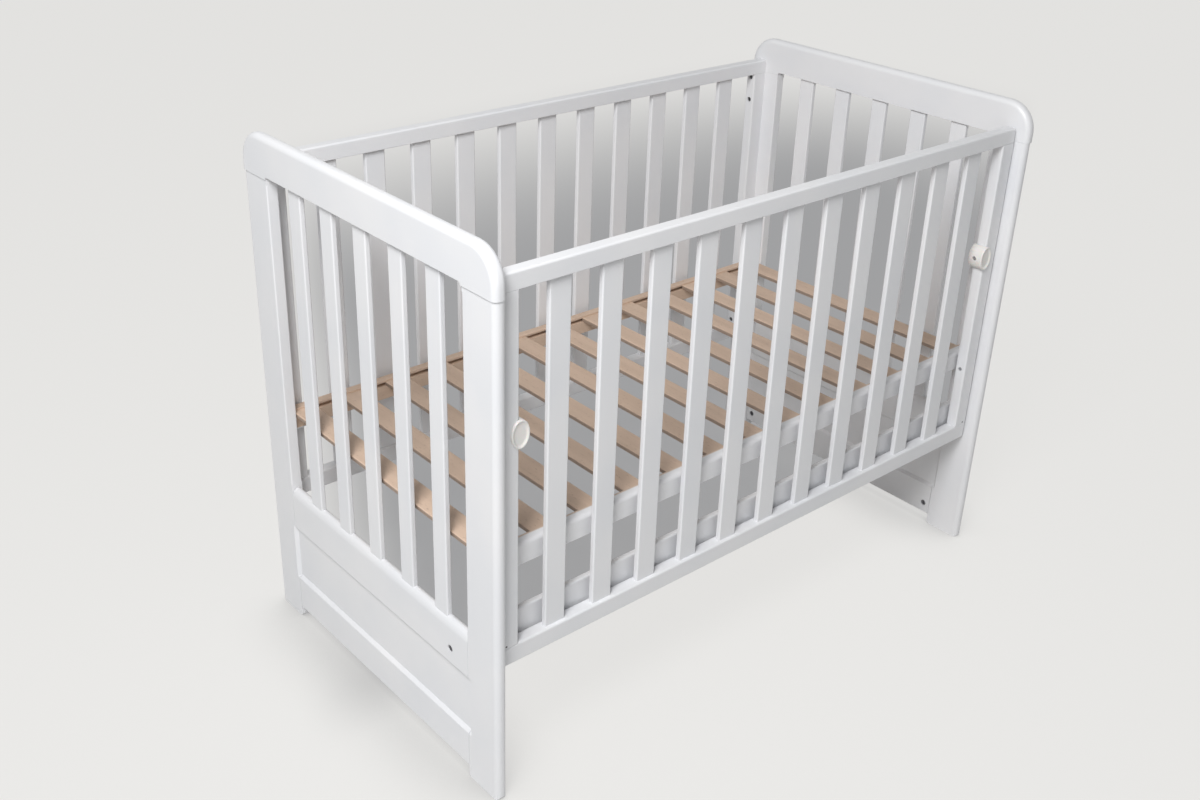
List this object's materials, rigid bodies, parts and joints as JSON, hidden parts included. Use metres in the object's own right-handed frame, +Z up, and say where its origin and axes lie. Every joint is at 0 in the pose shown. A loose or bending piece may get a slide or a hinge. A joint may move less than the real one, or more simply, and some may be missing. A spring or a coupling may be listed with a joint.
{
  "type": "drop-side cot",
  "caption": "White slatted wooden cot with rounded end panels, a slatted beech base, and one long side that slides down when two sprung knobs are drawn.",
  "frame": {"origin": "on the floor, under the middle of the cot", "axes": "+X along the cot towards the far end panel, -Y towards the side that drops, +Z up"},
  "size_m": [1.256, 0.702, 0.948],
  "materials": {
    "white_paint": "satin white paint on wood",
    "beech": "planed, clear matt lacquer",
    "ivory_plastic": "moulded, semi-gloss",
    "grey_plastic": "extruded, matt",
    "zinc": "zinc plated",
    "dark_steel": "dark burnished"
  },
  "bodies": {
    "cot_frame": {"back_side_bottom_rail_and_slats": "white_paint", "back_side_top_rail": "white_paint", "base_back_rail_and_slats": "beech", "base_front_rail": "beech", "far_back_bracket": "zinc", "far_back_bracket_bolt": "dark_steel", "far_back_post": "white_paint", "far_back_side_stile": "white_paint", "far_barrel_nut": "dark_steel", "far_bottom_rail": "white_paint", "far_front_bracket": "zinc", "far_front_bracket_bolt": "dark_steel", "far_front_post": "white_paint", "far_lower_guide_peg": "zinc", "far_lower_panel": "white_paint", "far_mid_rail_and_slats": "white_paint", "far_top_rail": "white_paint", "far_upper_guide_peg": "zinc", "near_back_bracket": "zinc", "near_back_bracket_bolt": "dark_steel", "near_back_post": "white_paint", "near_back_side_stile": "white_paint", "near_barrel_nut": "dark_steel", "near_bottom_rail": "white_paint", "near_front_bracket": "zinc", "near_front_bracket_bolt": "dark_steel", "near_front_post": "white_paint", "near_lower_guide_peg": "zinc", "near_lower_panel": "white_paint", "near_mid_rail_and_slats": "white_paint", "near_top_rail": "white_paint", "near_upper_guide_peg": "zinc"},
    "drop_side": {"drop_side_bottom_rail": "white_paint", "drop_side_slat_01": "white_paint", "drop_side_slat_02": "white_paint", "drop_side_slat_03": "white_paint", "drop_side_slat_04": "white_paint", "drop_side_slat_05": "white_paint", "drop_side_slat_06": "white_paint", "drop_side_slat_07": "white_paint", "drop_side_slat_08": "white_paint", "drop_side_slat_09": "white_paint", "drop_side_slat_10": "white_paint", "drop_side_slat_11": "white_paint", "drop_side_top_rail": "white_paint", "far_drop_side_stile": "white_paint", "far_guide_track": "grey_plastic", "far_latch_bush": "ivory_plastic", "far_latch_spring": "dark_steel", "near_drop_side_stile": "white_paint", "near_guide_track": "grey_plastic", "near_latch_bush": "ivory_plastic", "near_latch_spring": "dark_steel"},
    "near_latch": {"near_knob_screw": "zinc", "near_latch_bolt": "zinc", "near_release_knob": "ivory_plastic"},
    "far_latch": {"far_knob_screw": "zinc", "far_latch_bolt": "zinc", "far_release_knob": "ivory_plastic"}
  },
  "joints": [
    {"name": "drop_side_slide", "type": "slide", "parent": "cot_frame", "child": "drop_side", "axis": [0, 0, -1], "range_m": [0, 0.2]},
    {"name": "near_latch_pull", "type": "slide", "parent": "drop_side", "child": "near_latch", "axis": [1, 0, 0], "range_m": [0, 0.009], "stiffness_N_per_m": 600, "springref_m": -0.006, "deforming": ["near_latch_spring"]},
    {"name": "far_latch_pull", "type": "slide", "parent": "drop_side", "child": "far_latch", "axis": [-1, 0, 0], "range_m": [0, 0.009], "stiffness_N_per_m": 600, "springref_m": -0.006, "deforming": ["far_latch_spring"]}
  ]
}
